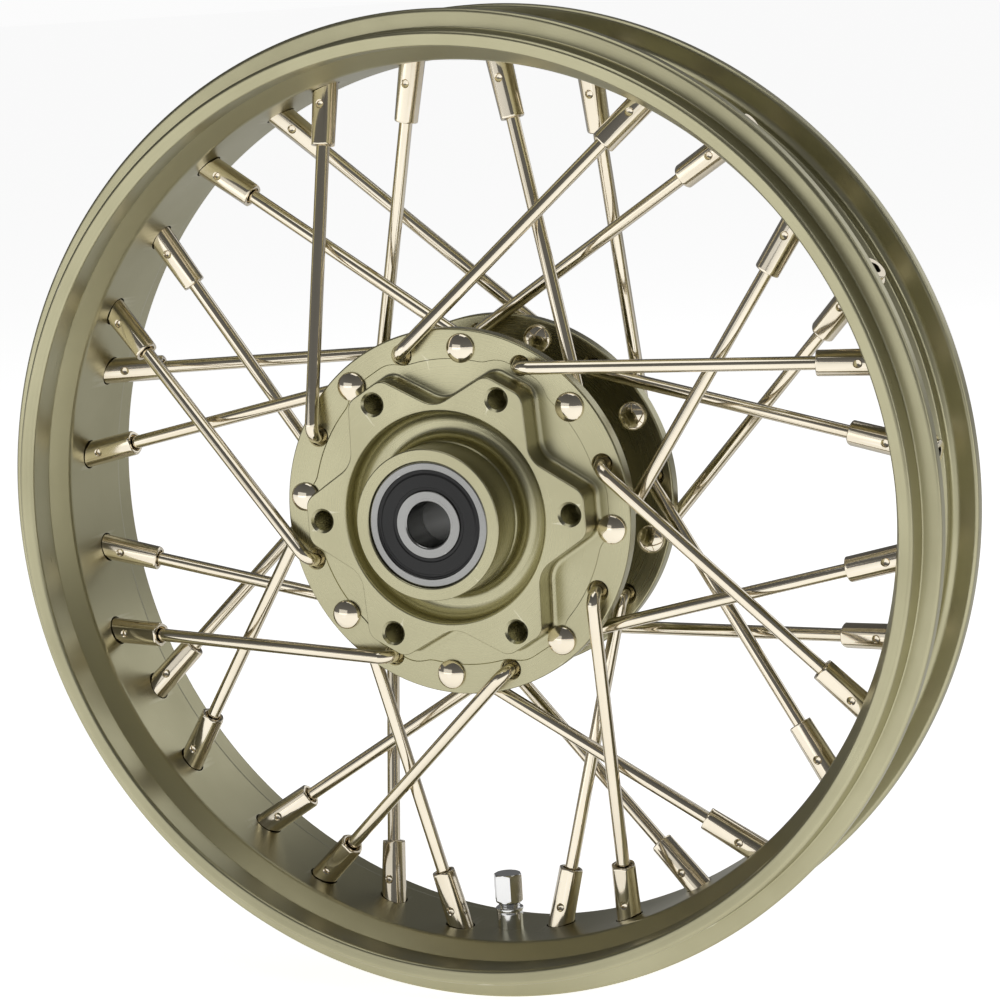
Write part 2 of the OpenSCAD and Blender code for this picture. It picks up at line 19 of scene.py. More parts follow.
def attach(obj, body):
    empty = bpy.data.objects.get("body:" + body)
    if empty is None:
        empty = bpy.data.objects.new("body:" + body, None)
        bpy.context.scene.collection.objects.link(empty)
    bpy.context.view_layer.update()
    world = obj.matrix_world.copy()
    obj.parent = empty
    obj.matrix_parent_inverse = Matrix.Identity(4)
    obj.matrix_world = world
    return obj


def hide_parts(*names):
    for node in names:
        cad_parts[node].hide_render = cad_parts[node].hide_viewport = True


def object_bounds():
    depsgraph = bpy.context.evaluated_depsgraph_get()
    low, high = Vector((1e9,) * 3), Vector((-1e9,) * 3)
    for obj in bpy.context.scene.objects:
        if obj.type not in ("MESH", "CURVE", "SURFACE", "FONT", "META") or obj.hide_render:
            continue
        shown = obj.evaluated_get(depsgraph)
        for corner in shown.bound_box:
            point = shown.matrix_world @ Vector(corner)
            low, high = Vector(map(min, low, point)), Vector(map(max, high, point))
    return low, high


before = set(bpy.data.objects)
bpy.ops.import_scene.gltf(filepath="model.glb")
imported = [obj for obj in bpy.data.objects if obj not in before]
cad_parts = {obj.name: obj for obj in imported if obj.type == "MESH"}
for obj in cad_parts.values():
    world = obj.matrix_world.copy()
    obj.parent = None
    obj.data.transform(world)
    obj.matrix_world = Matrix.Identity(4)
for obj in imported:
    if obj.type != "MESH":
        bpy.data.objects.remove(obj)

log = logging.getLogger("wheel")
MM = 0.001
CAD_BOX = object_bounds()

Point = tuple[float, float]
Corner = tuple[float, float, float]
Socket = bpy.types.NodeSocket


class Side(Enum):
    """The two sides of the wheel, as the sign of an axle offset."""

    NEAR = 1
    FAR = -1


class Elbow(Enum):
    """Where a spoke's elbow lies, as the way its shank travels through the flange."""

    OUTSIDE = 1
    INSIDE = -1


class Turn(Enum):
    """The way round that a spoke leads from its hub hole to the rim."""

    FORWARD = 1
    BACKWARD = -1


# ------------------------------------------------------------------ geometry


def rounded(corners: Sequence[Corner], closed: bool = True, steps: int = 7, support: float = 0.25) -> list[Point]:
    """Rounds the corners of an outline and holds its flats with a point close to each end.

    Args:
        corners: The outline's corners as x, y and rounding radius; radius 0 keeps a corner sharp.
        closed: Whether the last corner joins the first.
        steps: Points in a quarter turn of rounding.
        support: Distance of the holding points from the end of each rounding.

    Returns:
        The outline's points.
    """
    out: list[Point] = []
    count = len(corners)
    for i, (x, y, radius) in enumerate(corners):
        here = Vector((x, y))
        if not closed and i in (0, count - 1) or radius <= 0:
            out.append((x, y))
            continue
        back = Vector(corners[i - 1][:2]) - here
        ahead = Vector(corners[(i + 1) % count][:2]) - here
        half = back.angle(ahead) / 2
        reach = radius / math.tan(half)
        reach = min(reach, 0.48 * back.length, 0.48 * ahead.length)
        radius = reach * math.tan(half)
        centre = here + (back.normalized() + ahead.normalized()).normalized() * radius / math.sin(half)
        start = here + back.normalized() * reach
        end = here + ahead.normalized() * reach
        arc0 = math.atan2(*(start - centre).yx)
        sweep = math.remainder(math.atan2(*(end - centre).yx) - arc0, math.tau)
        pieces = max(2, round(abs(sweep) / (math.pi / 2) * steps))
        if back.length - reach > 3 * support:
            out.append(tuple(start + back.normalized() * support))
        for k in range(pieces + 1):
            a = arc0 + sweep * k / pieces
            out.append((centre.x + radius * math.cos(a), centre.y + radius * math.sin(a)))
        if ahead.length - reach > 3 * support:
            out.append(tuple(end + ahead.normalized() * support))
    return out


@dataclass
class Shape:
    """Points in millimetres and the faces between them."""

    points: np.ndarray
    faces: list[tuple[int, ...]]

    def moved(self, place: Matrix) -> "Shape":
        """Returns the shape at another place."""
        m = np.array(place)
        return Shape(self.points @ m[:3, :3].T + m[:3, 3], self.faces)

    @staticmethod
    def joined(shapes: Sequence["Shape"]) -> "Shape":
        """Returns several shapes as one."""
        faces: list[tuple[int, ...]] = []
        start = 0
        for shape in shapes:
            faces += [tuple(i + start for i in face) for face in shape.faces]
            start += len(shape.points)
        return Shape(np.concatenate([shape.points for shape in shapes]), faces)

    def to_object(self, name: str, weld: bool = False) -> bpy.types.Object:
        """Makes a Blender object of the shape.

        Args:
            name: The object's name.
            weld: Whether points that coincide, such as a dome's pole, become one.

        Returns:
            The object, in metres.
        """
        mesh = bpy.data.meshes.new(name)
        mesh.from_pydata((self.points * MM).tolist(), [], self.faces)
        bm = bmesh.new()
        bm.from_mesh(mesh)
        if weld:
            bmesh.ops.remove_doubles(bm, verts=bm.verts, dist=1e-7)
        bmesh.ops.recalc_face_normals(bm, faces=bm.faces)
        bm.to_mesh(mesh)
        bm.free()
        obj = bpy.data.objects.new(name, mesh)
        bpy.context.scene.collection.objects.link(obj)
        return obj


def skin(rings: np.ndarray, closed: bool) -> Shape:
    """Skins a stack of rings.

    Args:
        rings: Points by ring and place on the ring, in millimetres.
        closed: Whether the last ring joins the first; otherwise the two ends are capped.

    Returns:
        The skinned shape.
    """
    count, around = rings.shape[:2]
    index = np.arange(count * around).reshape(count, around)
    lower = index if closed else index[:-1]
    upper = np.roll(index, -1, axis=0) if closed else index[1:]
    quads = np.stack([lower, np.roll(lower, -1, axis=1), np.roll(upper, -1, axis=1), upper], axis=-1)
    faces = [tuple(q) for q in quads.reshape(-1, 4).tolist()]
    if not closed:
        faces += [tuple(index[0].tolist()), tuple(index[-1, ::-1].tolist())]
    return Shape(rings.reshape(-1, 3), faces)


def turn_angles(around: int) -> np.ndarray:
    """Returns evenly spaced angles of a full turn, which start part of a step on, clear of the two diagonals.

    Neighbours with the same sum of coordinates, as on or across a diagonal, are one point to Blender's pointiness.
    """
    return (np.arange(around) + 0.3) * math.tau / around


def lathe(profile: Sequence[Point], around: int, closed: bool = True) -> Shape:
    """Turns a profile of radius and height about Z.

    Args:
        profile: Radius and height of each point.
        around: Points in a full turn.
        closed: Whether the profile is a closed loop.

    Returns:
        The turned shape.
    """
    rh = np.array(profile, float)
    a = turn_angles(around)
    rings = np.stack(
        [
            rh[:, :1] * np.cos(a)[None, :],
            rh[:, :1] * np.sin(a)[None, :],
            np.repeat(rh[:, 1:], around, axis=1),
        ],
        axis=-1,
    )
    return skin(rings, closed)


def settle(obj: bpy.types.Object) -> bpy.types.Object:
    """Makes an object's modifiers part of its mesh."""
    bpy.context.view_layer.update()
    done = bpy.data.meshes.new_from_object(obj.evaluated_get(bpy.context.evaluated_depsgraph_get()))
    obj.modifiers.clear()
    old, obj.data = obj.data, done
    bpy.data.meshes.remove(old)
    done.name = obj.name
    return obj


def smooth(obj: bpy.types.Object, sharp_deg: float = 32.0, flats: bool = False) -> bpy.types.Object:
    """Shades an object smooth, with its edges sharper than an angle kept sharp.

    Args:
        obj: The object.
        sharp_deg: The angle.
        flats: Whether large faces keep their own normals, so that flats between roundings shade flat.

    Returns:
        The same object.
    """
    obj.data.polygons.foreach_set("use_smooth", [True] * len(obj.data.polygons))
    obj.data.set_sharp_from_angle(angle=math.radians(sharp_deg))
    if not flats:
        return obj
    weigh = obj.modifiers.new("flats", "WEIGHTED_NORMAL")
    weigh.keep_sharp = True
    return settle(obj)


def drill(obj: bpy.types.Object, cutters: Shape) -> bpy.types.Object:
    """Cuts a shape out of an object."""
    tool = cutters.to_object("cutter", weld=True)
    cut = obj.modifiers.new("drill", "BOOLEAN")
    cut.operation = "DIFFERENCE"
    cut.solver = "MANIFOLD"
    cut.object = tool
    settle(obj)
    bpy.data.objects.remove(tool)
    return obj


def about_axle() -> Matrix:
    """Returns the place that stands a shape drawn about Z on the axle, with Z towards the disc side."""
    return Matrix(((1, 0, 0, 0), (0, 0, -1, 0), (0, 1, 0, 0), (0, 0, 0, 1)))


def down_the_valve() -> Matrix:
    """Returns the place that points Z from the axle to the valve hole."""
    return Matrix.Rotation(math.pi, 4, "X")


# ------------------------------------------------------------------ finishes


class Nodes:
    """A shader tree being wired."""

    def __init__(self, tree: bpy.types.NodeTree) -> None:
        """Starts on an empty tree.

        Args:
            tree: The material's or the group's tree.
        """
        self.tree = tree
        tree.nodes.clear()

    def add(self, kind: str, inputs: dict | None = None, **settings: object) -> bpy.types.Node:
        """Adds a node.

        Args:
            kind: The node's type, without its ShaderNode prefix.
            inputs: Socket values, or output sockets to link, by input name or number.
            settings: The node's own settings.

        Returns:
            The node.
        """
        node = self.tree.nodes.new(kind if kind.startswith("NodeGroup") else "ShaderNode" + kind)
        for key, value in settings.items():
            setattr(node, key, value)
        for key, value in (inputs or {}).items():
            if isinstance(value, Socket):
                self.tree.links.new(value, node.inputs[key])
            else:
                node.inputs[key].default_value = value
        return node

    def math(self, operation: str, *values: object) -> Socket:
        """Returns the result of a math node on values or sockets."""
        return self.add("Math", dict(enumerate(values)), operation=operation).outputs[0]

    def ramp(self, value: Socket, low: float, high: float) -> Socket:
        """Returns value mapped from low..high to 0..1 and held there."""
        node = self.add("MapRange", {"Value": value, "From Min": low, "From Max": high}, clamp=True)
        return node.outputs["Result"]

    def blend(self, factor: Socket, first: object, second: object, kind: str = "MIX") -> Socket:
        """Returns two colours mixed by a factor.

        Args:
            factor: How much of the second colour shows.
            first: A colour or a colour socket.
            second: A colour or a colour socket.
            kind: The way of mixing.

        Returns:
            The mixed colour's socket.
        """
        # A mix node has sockets for every type of value; numbers 6 and 7 are its colours.
        return self.add("Mix", {0: factor, 6: first, 7: second}, data_type="RGBA", blend_type=kind).outputs[2]


def new_group(
    name: str, inputs: dict[str, float], outputs: Sequence[str]
) -> tuple[Nodes, bpy.types.Node, bpy.types.Node]:
    """Starts a shader node group of plain numbers.

    Args:
        name: The group's name.
        inputs: Input names with their usual values.
        outputs: Output names.

    Returns:
        The group's nodes, its input node and its output node.
    """
    tree = bpy.data.node_groups.new(name, "ShaderNodeTree")
    for key, value in inputs.items():
        tree.interface.new_socket(key, in_out="INPUT", socket_type="NodeSocketFloat").default_value = value
    for key in outputs:
        tree.interface.new_socket(key, in_out="OUTPUT", socket_type="NodeSocketFloat")
    nodes = Nodes(tree)
    return nodes, nodes.add("NodeGroupInput"), nodes.add("NodeGroupOutput")


class Effects:
    """Surface effects that the finishes share, each a node group."""

    def __init__(self) -> None:
        """Builds the groups."""
        self.turning = self._turning()
        self.grain = self._grain()
        self.painted_light = self._painted_light()

    @staticmethod
    def _turning() -> bpy.types.NodeTree:
        """Lathe marks about the axle: fine rings in radius and in axle offset."""
        n, given, made = new_group("turning_marks", {"Pitch": 0.0004, "Drift": 0.35}, ["Height"])
        place = n.add("NewGeometry").outputs["Position"]
        split = n.add("SeparateXYZ", {0: n.add("TexCoord").outputs["Object"]})
        x_square, z_square = (n.math("POWER", split.outputs[i], 2.0) for i in (0, 2))
        radius = n.math("SQRT", n.math("ADD", x_square, z_square))
        along = n.math("ADD", radius, n.math("MULTIPLY", split.outputs[1], 0.83))
        count = n.math("DIVIDE", along, given.outputs["Pitch"])
        rings = n.add("TexNoise", {"W": count, "Scale": 1.0, "Detail": 2.0}, noise_dimensions="1D").outputs["Fac"]
        broad = n.add("TexNoise", {"Vector": place, "Scale": 34.0, "Detail": 3.0}).outputs["Fac"]
        strength = n.math("MULTIPLY_ADD", n.math("SUBTRACT", broad, 0.5), given.outputs["Drift"], 1.0)
        n.tree.links.new(n.math("MULTIPLY", n.math("SUBTRACT", rings, 0.5), strength), made.inputs["Height"])
        return n.tree

    @staticmethod
    def _grain() -> bpy.types.NodeTree:
        """A fine blasted grain with broader, fainter clouding."""
        n, given, made = new_group("blasted_grain", {"Scale": 2600.0, "Cloud Scale": 26.0}, ["Height", "Cloud"])
        place = n.add("TexCoord").outputs["Object"]
        size, cloud_size = given.outputs["Scale"], given.outputs["Cloud Scale"]
        fine = n.add("TexNoise", {"Vector": place, "Scale": size, "Detail": 2.0, "Roughness": 0.6})
        cloud = n.add("TexNoise", {"Vector": place, "Scale": cloud_size, "Detail": 4.0})
        n.tree.links.new(fine.outputs["Fac"], made.inputs["Height"])
        n.tree.links.new(n.ramp(cloud.outputs["Fac"], 0.3, 0.7), made.inputs["Cloud"])
        return n.tree

    @staticmethod
    def _painted_light() -> bpy.types.NodeTree:
        """Painted highlight on sharp edges and painted shade in hollows, from how sharply the surface bends."""
        n, given, made = new_group("painted_edges_and_hollows", {"Edge": 0.54, "Spread": 0.06, "Breakup": 420.0}, ["Edge", "Hollow"])
        bend = n.add("NewGeometry").outputs["Pointiness"]
        place = n.add("TexCoord").outputs["Object"]
        noise = n.add("TexNoise", {"Vector": place, "Scale": given.outputs["Breakup"], "Detail": 3.0}).outputs["Fac"]
        ragged = n.math("MULTIPLY_ADD", n.math("SUBTRACT", noise, 0.5), 0.03, bend)
        top = n.math("ADD", given.outputs["Edge"], given.outputs["Spread"])
        # Edge marks where a painted highlight goes, Hollow where painted shade goes.
        edge = n.add("MapRange", {"Value": ragged, "From Min": given.outputs["Edge"], "From Max": top}, clamp=True)
        hollow = n.add("MapRange", {"Value": ragged, "From Min": 0.48, "From Max": 0.42}, clamp=True)
        n.tree.links.new(edge.outputs["Result"], made.inputs["Edge"])
        n.tree.links.new(hollow.outputs["Result"], made.inputs["Hollow"])
        return n.tree


@dataclass(frozen=True)
class Finish:
    """A metal or rubber finish, with the slot of the record it belongs to."""

    name: str
    slot: str
    colour: tuple[float, float, float]
    shade: tuple[float, float, float]
    # Colour painted on sharp edges as a highlight.
    edge_highlight: tuple[float, float, float]
    metallic: float = 1.0
    roughness: float = 0.3
    roughness_spread: float = 0.08
    grain_scale: float = 2600.0
    grain_height: float = 0.000004
    turning_pitch: float = 0.0
    turning_height: float = 0.0
    directional: float = 0.0
    # Strength of the painted edge highlight.
    painted_light: float = 0.4
    coat: float = 0.0

    def material(self, effects: Effects) -> bpy.types.Material:
        """Builds the finish's material.

        Args:
            effects: The shared surface effects.

        Returns:
            The material.
        """
        material = bpy.data.materials.new(self.name)
        material.use_nodes = True
        n = Nodes(material.node_tree)
        grain = n.add("Group", node_tree=effects.grain)
        grain.inputs["Scale"].default_value = self.grain_scale
        painted_light = n.add("Group", node_tree=effects.painted_light)
        # The edge mask paints a lighter colour on sharp edges as a highlight, and makes them a little smoother.
        edge = n.math("MULTIPLY", painted_light.outputs["Edge"], self.painted_light)
        cloud = n.blend(grain.outputs["Cloud"], (*self.colour, 1), (*self.shade, 1))
        # The hollow mask paints shade into hollows as a brownish darkening.
        painted_hollow_shade = n.blend(n.math("MULTIPLY", painted_light.outputs["Hollow"], 0.5), cloud, (0.5, 0.46, 0.36, 1), "MULTIPLY")
        edge_highlight = n.blend(edge, painted_hollow_shade, (*self.edge_highlight, 1))
        smoothest = self.roughness - self.roughness_spread / 2
        rough = n.math("MULTIPLY_ADD", grain.outputs["Cloud"], self.roughness_spread, smoothest)
        height = n.math("MULTIPLY", grain.outputs["Height"], self.grain_height)
        if self.turning_pitch:
            turning = n.add("Group", node_tree=effects.turning)
            turning.inputs["Pitch"].default_value = self.turning_pitch
            height = n.math("MULTIPLY_ADD", turning.outputs["Height"], self.turning_height, height)
            rough = n.math("MULTIPLY_ADD", turning.outputs["Height"], 0.12, rough)
        bump = n.add("Bump", {"Height": height, "Distance": 1.0, "Strength": 1.0})
        shader = n.add(
            "BsdfPrincipled",
            {
                "Base Color": edge_highlight,
                "Metallic": self.metallic,
                "Roughness": n.math("MULTIPLY_ADD", edge, -0.06, rough),
                "Normal": bump.outputs["Normal"],
                "Coat Weight": self.coat,
                "Coat Roughness": 0.12,
                "Anisotropic": self.directional,
            },
        )
        if self.directional:
            tangent = n.add("Tangent", direction_type="RADIAL", axis="Y")
            n.tree.links.new(tangent.outputs[0], shader.inputs["Tangent"])
        n.add("OutputMaterial", {"Surface": shader.outputs["BSDF"]})
        return material


class Finishes:
    """The wheel's finishes, built once and handed to the pieces."""

    def __init__(self) -> None:
        """Builds every material."""
        effects = Effects()
        champagne = {
            "colour": (0.47, 0.445, 0.29),
            "shade": (0.425, 0.40, 0.255),
            "edge_highlight": (0.74, 0.71, 0.57),
            "grain_scale": 3200.0,
            "grain_height": 0.0000045,
        }
        self.rim = Finish(
            "champagne_rim", "rim_alloy", roughness=0.33, turning_pitch=0.00045, turning_height=0.000003,
            directional=0.2, **champagne,
        )
        self.hub = Finish(
            "champagne_hub", "hub_alloy", roughness=0.29, turning_pitch=0.0003, turning_height=0.000001, **champagne,
        )
        nickel = {"colour": (0.86, 0.79, 0.65), "shade": (0.78, 0.70, 0.55), "edge_highlight": (0.93, 0.89, 0.79)}
        self.spoke = Finish("nickel_spoke", "spoke_steel", roughness=0.09, grain_height=0.0000006, painted_light=0.2, **nickel)
        self.nipple = Finish(
            "nickel_nipple", "nipple_nickel", roughness=0.11, grain_height=0.0000008, painted_light=0.35, **nickel,
        )
        self.washer = Finish("nickel_washer", "nipple_nickel", roughness=0.3, grain_height=0.000003, **nickel)
        self.chrome = Finish(
            "valve_chrome", "valve_chrome", (0.84, 0.84, 0.83), (0.78, 0.78, 0.78), (0.92, 0.92, 0.92),
            roughness=0.12, grain_height=0.000001,
        )
        self.ground = Finish(
            "ground_steel", "bearing_steel", (0.33, 0.33, 0.32), (0.29, 0.29, 0.28), (0.75, 0.75, 0.73),
            roughness=0.25, turning_pitch=0.00018, turning_height=0.0000004,
        )
        self.ball = Finish(
            "ball_steel", "bearing_steel", (0.7, 0.7, 0.7), (0.66, 0.66, 0.66), (0.8, 0.8, 0.8),
            roughness=0.07, grain_height=0.0000004,
        )
        self.brass = Finish(
            "turned_brass", "cage_brass", (0.72, 0.54, 0.25), (0.6, 0.43, 0.18), (0.85, 0.7, 0.4), roughness=0.3,
        )
        self.rubber = Finish(
            "seal_rubber", "seal_rubber", (0.006, 0.006, 0.006), (0.01, 0.01, 0.01), (0.03, 0.03, 0.03),
            metallic=0.0, roughness=0.5, roughness_spread=0.14, grain_scale=1800.0, grain_height=0.00001, painted_light=0.3,
        )
        self.tube = Finish(
            "turned_alloy", "tube_alloy", (0.62, 0.62, 0.61), (0.56, 0.56, 0.55), (0.75, 0.75, 0.74),
            roughness=0.34, turning_pitch=0.0003, turning_height=0.000004, directional=0.4,
        )
        self._made = {f.name: f.material(effects) for f in vars(self).values() if isinstance(f, Finish)}

    def dress(self, obj: bpy.types.Object, finish: Finish) -> bpy.types.Object:
        """Gives an object a finish, and returns the object."""
        obj.data.materials.clear()
        obj.data.materials.append(self._made[finish.name])
        return obj

    def dress_node(self, node: str, finish: Finish) -> None:
        """Gives a part that is carried over from the frame its finish."""
        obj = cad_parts[node]
        obj.data.materials.clear()
        obj.data.materials.append(self._made[finish.name])


def fit(obj: bpy.types.Object, body: str, *nodes: str) -> None:
    """Sets a finished piece in place of parts of the frame.

    Args:
        obj: The piece.
        body: The moving body that it rides on.
        nodes: The parts that it stands for.
    """
    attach(obj, body)
    if nodes:
        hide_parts(*nodes)
    log.info("%s: %d faces, on %s", obj.name, len(obj.data.polygons), body)


# ------------------------------------------------------------------ spokes and nipples


@dataclass(frozen=True)
class Family:
    """Eight spokes that leave one flange the same way."""

    name: str
    first_angle: float
    side: Side
    turn: Turn
    elbow: Elbow
    count: int = 8


@dataclass
class Lacing:
    """The spokes and the nipples that hold them."""

    families: tuple[Family, ...] = (
        Family("near_elbow_out", 241.875, Side.NEAR, Turn.BACKWARD, Elbow.OUTSIDE),
        Family("near_head_out", 264.375, Side.NEAR, Turn.FORWARD, Elbow.INSIDE),
        Family("far_elbow_out", 253.125, Side.FAR, Turn.FORWARD, Elbow.OUTSIDE),
        Family("far_head_out", 230.625, Side.FAR, Turn.BACKWARD, Elbow.INSIDE),
    )
    hub_r: float = 55.2
    flange_face: float = 23.66
    flange_t: float = 5.4
    rim_r: float = 157.0
    rim_offset: float = 3.0
    lead: float = 45.0
    wire_d: float = 4.5
    elbow_r: float = 4.2
    lift: float = 0.6
    head_d: float = 9.8
    head_h: float = 2.5
    head_edge: float = 0.9
    leg_end: float = -11.0
    nipple_af: float = 8.0
    nipple_d: float = 8.9
    nipple_open: float = -28.5
    nipple_seat: float = -3.0
    nipple_head_d: float = 11.4
    nipple_head_l: float = 3.0
    driver_d: float = 9.0
    driver_l: float = 2.0
    mouth_d: float = 5.9
    mouth_l: float = 2.5
    dimple_d: float = 2.4
    dimple_depth: float = 1.0
    dimple_at: float = -15.0

    def _run(self) -> tuple[float, float]:
        """Returns the run's length and its angle from the hub hole's own direction."""
        lead = math.radians(self.lead)
        x, z = self.rim_r * math.cos(lead) - self.hub_r, self.rim_r * math.sin(lead)
        return math.hypot(x, z), math.degrees(math.atan2(z, x))

    def _bend(self, elbow: Elbow) -> tuple[float, float, float]:
        """Returns the bend's start offset, its angle in radians and the leg's length to the rim point."""
        travel = elbow.value
        length = self._run()[0]
        inner = self.flange_face - self.flange_t
        start = self.flange_face + self.lift if elbow is Elbow.OUTSIDE else inner - self.lift
        across, back = length - self.elbow_r, travel * (self.rim_offset - start)
        angle = math.atan2(across, back) + math.asin(self.elbow_r / math.hypot(across, back))
        end_x = self.elbow_r * (1 - math.cos(angle))
        end_y = start + travel * self.elbow_r * math.sin(angle)
        return start, angle, math.hypot(length - end_x, self.rim_offset - end_y)

    def _spoke(self, elbow: Elbow) -> Shape:
        """Returns one spoke, with X along its run and Y along the axle offset."""
        travel = elbow.value
        start, angle, leg = self._bend(elbow)
        face = self.flange_face - self.flange_t if elbow is Elbow.OUTSIDE else self.flange_face
        wire = self.wire_d / 2
        head = self.head_d / 2
        dome_h = self.head_h - self.head_edge
        dome_r = (head**2 + dome_h**2) / (2 * dome_h)
        rim_angle = math.asin(head / dome_r)
        dome = (rim_angle * k / 9 for k in range(9))
        profile = [(dome_r * math.sin(a), self.head_edge + dome_h - dome_r * (1 - math.cos(a))) for a in dome]
        profile += rounded(
            [
                (head * 0.96, self.head_edge + 0.12, 0), (head, self.head_edge * 0.8, 0.3), (head, 0.05, 0.12),
                (wire + 0.35, 0.0, 0.3), (wire, -0.6, 0),
            ],
            closed=False, steps=4, support=0.1,
        )
        # centre, way ahead and radius of each ring
        rings = [(0.0, face - travel * height, 0.0, float(travel), max(radius, 1e-4)) for radius, height in profile]
        rings.append((0.0, start - travel * 0.1, 0.0, float(travel), wire))
        steps = 16
        for k in range(steps + 1):
            a = angle * k / steps
            x, y = self.elbow_r * (1 - math.cos(a)), start + travel * self.elbow_r * math.sin(a)
            rings.append((x, y, math.sin(a), travel * math.cos(a), wire))
        ex, ey, dx, dy, _ = rings[-1]
        for k in range(1, 9):
            s = (leg + self.leg_end) * k / 8
            rings.append((ex + dx * s, ey + dy * s, dx, dy, wire))
        phi = np.arange(28) * math.tau / 28
        points = np.array(
            [
                np.stack([x - dy_ * r * np.cos(phi), y + dx_ * r * np.cos(phi), r * np.sin(phi)], axis=-1)
                for x, y, dx_, dy_, r in rings
            ]
        )
        return skin(points, closed=False)

    def _nipple(self) -> Shape:
        """Returns one nipple along Z, with its origin where the spoke meets the rim's circle."""
        flat, bar = self.nipple_af / 2, self.nipple_d / 2
        head_top = self.nipple_seat + self.nipple_head_l
        driver_top, bore = head_top + self.driver_l, self.wire_d / 2 + 0.03
        outer = rounded(
            [
                (self.mouth_d / 2, self.nipple_open, 0.25), (bar, self.nipple_open, 1.1), (bar, self.nipple_seat, 0),
                (self.nipple_head_d / 2, self.nipple_seat, 0.2), (self.nipple_head_d / 2, head_top, 0.5),
                (self.driver_d / 2, head_top, 0.2), (self.driver_d / 2, driver_top, 0.4),
                (bore, driver_top, 0.1), (bore, self.nipple_open + self.mouth_l, 0),
                (self.mouth_d / 2, self.nipple_open + self.mouth_l - 0.6, 0.1),
            ],
            steps=6, support=0.2,
        )
        around = 120
        phi = np.arange(around) * math.tau / around
        to_flat = np.abs((phi + math.pi / 6) % (math.pi / 3) - math.pi / 6)
        hexagon = flat / np.cos(math.pi / 6 - to_flat)
        rings = []
        for r, w in outer:
            radius = np.full(around, r)
            if w < self.nipple_seat and r > flat * 0.8:
                sharp = 14
                radius = (r ** -sharp + hexagon ** -sharp) ** (-1 / sharp) if r < bar else np.minimum(hexagon, r)
                radius = np.minimum(radius, hexagon)
            rings.append(np.stack([radius * np.cos(phi), radius * np.sin(phi), np.full(around, w)], axis=-1))
        return skin(np.array(rings), closed=True)

    def _dimples(self) -> Shape:
        """Returns the cutters of a nipple's two tommy-bar dimples."""
        cutters = []
        flat, r = self.nipple_af / 2, self.dimple_d / 2
        for way in (1, -1):
            depth = flat - self.dimple_depth
            profile = rounded(
                [(0, depth - 0.5, 0), (r, depth, 0.1), (r, flat - 0.15, 0), (r + 0.45, flat + 0.3, 0), (0, flat + 0.3, 0)],
                closed=False,
            )
            turn = Matrix.Rotation(-way * math.pi / 2, 4, "X")
            cutters.append(lathe(profile, 28, closed=False).moved(Matrix.Translation((0, 0, self.dimple_at)) @ turn))
        return Shape.joined(cutters)

    def _leg_frame(self, elbow: Elbow) -> Matrix:
        """Returns the place of a nipple in its spoke's own plane."""
        length = self._run()[0]
        _, angle, _ = self._bend(elbow)
        ahead = Vector((math.sin(angle), elbow.value * math.cos(angle), 0))
        up = Vector((-ahead.y, ahead.x, 0))
        across = up.cross(ahead)
        m = Matrix((across, up, ahead)).transposed().to_4x4()
        m.translation = Vector((length, self.rim_offset, 0))
        return m

    def places(self, family: Family) -> list[Matrix]:
        """Returns the places of a family's spokes, which take X along the run and Y along the axle offset."""
        run_angle = self._run()[1]
        out = []
        for k in range(family.count):
            hole = family.first_angle + 360 * k / family.count
            way = math.radians(hole + family.turn.value * run_angle)
            a = math.radians(hole)
            m = Matrix(
                (
                    (math.cos(way), 0, -math.sin(way), self.hub_r * math.cos(a)),
                    (0, -family.side.value, 0, 0),
                    (math.sin(way), 0, math.cos(way), self.hub_r * math.sin(a)),
                    (0, 0, 0, 1),
                )
            )
            out.append(m)
        return out

    def nipple_places(self, family: Family) -> list[Matrix]:
        """Returns the places of a family's nipples, which take Z along the spoke."""
        return [place @ self._leg_frame(family.elbow) for place in self.places(family)]

    def build(self, finishes: Finishes) -> None:
        """Builds the spokes and the nipples."""
        nipple = drill(self._nipple().to_object("nipple_blank"), self._dimples())
        points = np.array([v.co for v in nipple.data.vertices]) / MM
        blank = Shape(points, [tuple(p.vertices) for p in nipple.data.polygons])
        bpy.data.objects.remove(nipple)
        for family in self.families:
            spoke = self._spoke(family.elbow)
            wires = Shape.joined([spoke.moved(m) for m in self.places(family)])
            obj = wires.to_object(family.name + "_wires", weld=True)
            fit(finishes.dress(smooth(obj, 40), finishes.spoke), "wheel", family.name + "_spokes")
            obj = Shape.joined([blank.moved(m) for m in self.nipple_places(family)]).to_object(family.name + "_caps")
            fit(finishes.dress(smooth(obj, 24), finishes.nipple), "wheel", family.name + "_nipples")
        for node in ("near_nipple_washers", "far_nipple_washers"):
            finishes.dress_node(node, finishes.washer)


# ------------------------------------------------------------------ rim


